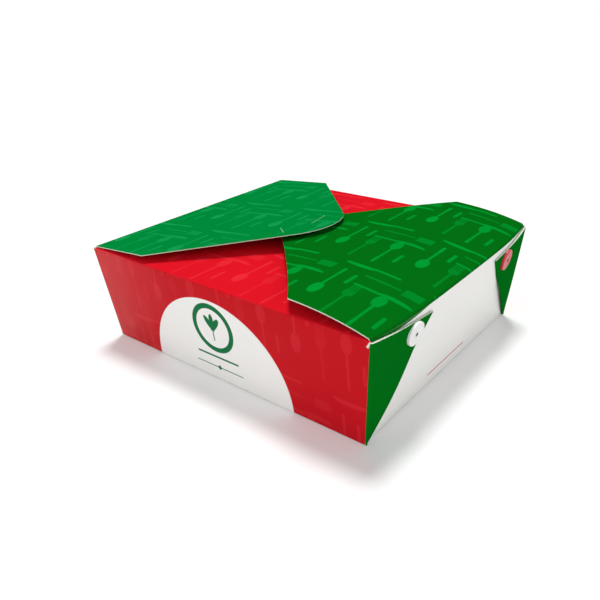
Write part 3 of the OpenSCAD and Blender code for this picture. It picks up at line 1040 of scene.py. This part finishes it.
def makeRivets(name, material, back):
    grip = gussetSizes["pressed"] + card + 2 * rivetSizes["seat"]
    points, facings = [], []
    for right in (False, True):
        bow = boxSizes["endBow"] if right else 0.0
        place = wallPoint(bow, -rivetY, rivetZ)
        step = 0.01
        up = (wallPoint(bow, -rivetY, rivetZ + step) - place) / step
        side = (wallPoint(bow, -rivetY + step, rivetZ) - place) / step
        a, b = math.atan(up), math.atan(side)
        facing = np.array([math.cos(a) * math.cos(b), -math.cos(a) * math.sin(b), -math.sin(a)])
        flangeFoot = -card - rivetSizes["seat"] - rivetSizes["flangeHeight"]
        point = np.array([place, -rivetY, rivetZ]) + facing * flangeFoot
        mirror = [1 if right else -1, -1 if back else 1, 1]
        points.append(point * mirror * mm)
        facings.append(facing * mirror)
    mesh = bpy.data.meshes.new(name)
    mesh.from_pydata([p.tolist() for p in points], [], [])
    outward = mesh.attributes.new("outward", "FLOAT_VECTOR", "POINT")
    outward.data.foreach_set("vector", np.array(facings).ravel().astype(np.float32))
    piece = addObject(name, mesh)
    tree = rivetTree(material, plastics["pin"])
    modifier = piece.modifiers.new("rivets", "NODES")
    modifier.node_group = tree
    sizes = {"Head Radius": rivetSizes["head"] / 2, "Head Height": rivetSizes["headHeight"],
             "Stem Radius": rivetSizes["stem"] / 2, "Flange Radius": rivetSizes["flange"] / 2,
             "Flange Height": rivetSizes["flangeHeight"], "Pin Radius": rivetSizes["pin"] / 2,
             "Pin Depth": rivetSizes["pinDepth"], "Rim": rivetSizes["rim"], "Grip": grip}
    for item in tree.interface.items_tree:
        if item.in_out == "INPUT" and item.name in sizes:
            modifier[item.identifier] = sizes[item.name] * mm
        elif item.in_out == "INPUT" and item.name == "Segments":
            modifier[item.identifier] = rivetSizes["segments"]
    settle(piece)
    piece.data.shade_smooth()
    piece.data.set_sharp_from_angle(angle=math.radians(50))
    return piece


whiteRivets = makeRivets("rivets_front", plastics["white"], False)
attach(whiteRivets, "box")
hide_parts("rivet_front_right", "rivet_front_left")
redRivets = makeRivets("rivets_back", plastics["red"], True)
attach(redRivets, "box")
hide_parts("rivet_back_right", "rivet_back_left")
print("rivets made", len(whiteRivets.data.polygons))

# plain floor that the camera sees as white, with the box's soft shadow on it
stageSizes = {
    "floor": 6.0,
    "floorColour": (0.76, 0.76, 0.76, 1),
    "lift": 0.12,
    "world": 0.35,
}


# 1 for the rays that see the floor and the background as plain white, 0 for the light they give
def seenDirectly(tree):
    rays = tree.nodes.new("ShaderNodeLightPath").outputs
    mirrored = calc(tree, "MAXIMUM", rays["Is Glossy Ray"], rays["Is Transmission Ray"])
    return calc(tree, "MAXIMUM", rays["Is Camera Ray"], mirrored)


def makeStage():
    material, tree = newMaterial("paleFloor")
    inputs = {"Base Color": stageSizes["floorColour"], "Roughness": 0.9, "Specular IOR Level": 0.1,
              "Emission Color": (1, 1, 1, 1),
              "Emission Strength": times(tree, seenDirectly(tree), stageSizes["lift"])}
    shader = put(tree, "ShaderNodeBsdfPrincipled", inputs)
    put(tree, "ShaderNodeOutputMaterial", {"Surface": shader.outputs[0]})
    mesh = bpy.data.meshes.new("floor")
    half = stageSizes["floor"] / 2
    corners = [(-half, -half, 0), (half, -half, 0), (half, half, 0), (-half, half, 0)]
    mesh.from_pydata(corners, [], [(0, 1, 2, 3)])
    mesh.materials.append(material)
    floor = addObject("floor", mesh)
    floor.location.z = -0.0002
    world = bpy.data.worlds.new("studio")
    world.use_nodes = True
    tree = world.node_tree
    tree.nodes.clear()
    inputs = {"Value": seenDirectly(tree), "To Min": stageSizes["world"], "To Max": 1.0}
    strength = put(tree, "ShaderNodeMapRange", inputs).outputs[0]
    sky = put(tree, "ShaderNodeBackground", {"Color": (1, 1, 1, 1), "Strength": strength}).outputs[0]
    put(tree, "ShaderNodeOutputWorld", {"Surface": sky})
    bpy.context.scene.world = world


# suns, so that the light is the same all over the floor
lamps = [
    {"name": "keyLight", "towards": (-0.18, 0.26, 1.0), "spread": 14, "power": 2.34},
    {"name": "frontFill", "towards": (-0.35, -0.85, 0.4), "spread": 60, "power": 0.6},
    {"name": "sideFill", "towards": (0.8, -0.5, 0.4), "spread": 60, "power": 1.0},
]


def makeLamps():
    for lamp in lamps:
        light = bpy.data.lights.new(lamp["name"], "SUN")
        light.energy = lamp["power"]
        light.angle = math.radians(lamp["spread"])
        holder = addObject(lamp["name"], light)
        holder.rotation_euler = Vector(lamp["towards"]).to_track_quat("Z", "Y").to_euler()


# the camera stands where a fit to the eight corners of the box puts it
cameraSizes = {
    "place": (0.1745, -0.2194, 0.1527),
    "azimuth": 39.5,
    "elevation": 26.2,
    "roll": -2.28,
    "focalPixels": 614.0,
    "middle": (304.0, 299.0),
    "picture": 600.0,
    "sensor": 36.0,
}


def makeCamera():
    azimuth, elevation, roll = (math.radians(cameraSizes[k]) for k in ("azimuth", "elevation", "roll"))
    back = Vector((math.sin(azimuth) * math.cos(elevation), -math.cos(azimuth) * math.cos(elevation),
                   math.sin(elevation)))
    right = (-back).cross(Vector((0, 0, 1))).normalized()
    up = right.cross(-back)
    turnedRight = math.cos(roll) * right + math.sin(roll) * up
    turnedUp = -math.sin(roll) * right + math.cos(roll) * up
    data = bpy.data.cameras.new("camera")
    data.sensor_width = cameraSizes["sensor"]
    data.lens = cameraSizes["focalPixels"] / cameraSizes["picture"] * cameraSizes["sensor"]
    data.shift_x = (cameraSizes["picture"] / 2 - cameraSizes["middle"][0]) / cameraSizes["picture"]
    data.shift_y = (cameraSizes["middle"][1] - cameraSizes["picture"] / 2) / cameraSizes["picture"]
    data.clip_start, data.clip_end = 0.01, 20
    camera = addObject("camera", data)
    turn = Matrix((turnedRight, turnedUp, back)).transposed().to_4x4()
    camera.matrix_world = Matrix.Translation(cameraSizes["place"]) @ turn
    bpy.context.scene.camera = camera


makeStage()
makeLamps()
makeCamera()
bpy.context.scene.view_settings.view_transform = "Standard"
print("stage, lamps and camera made")
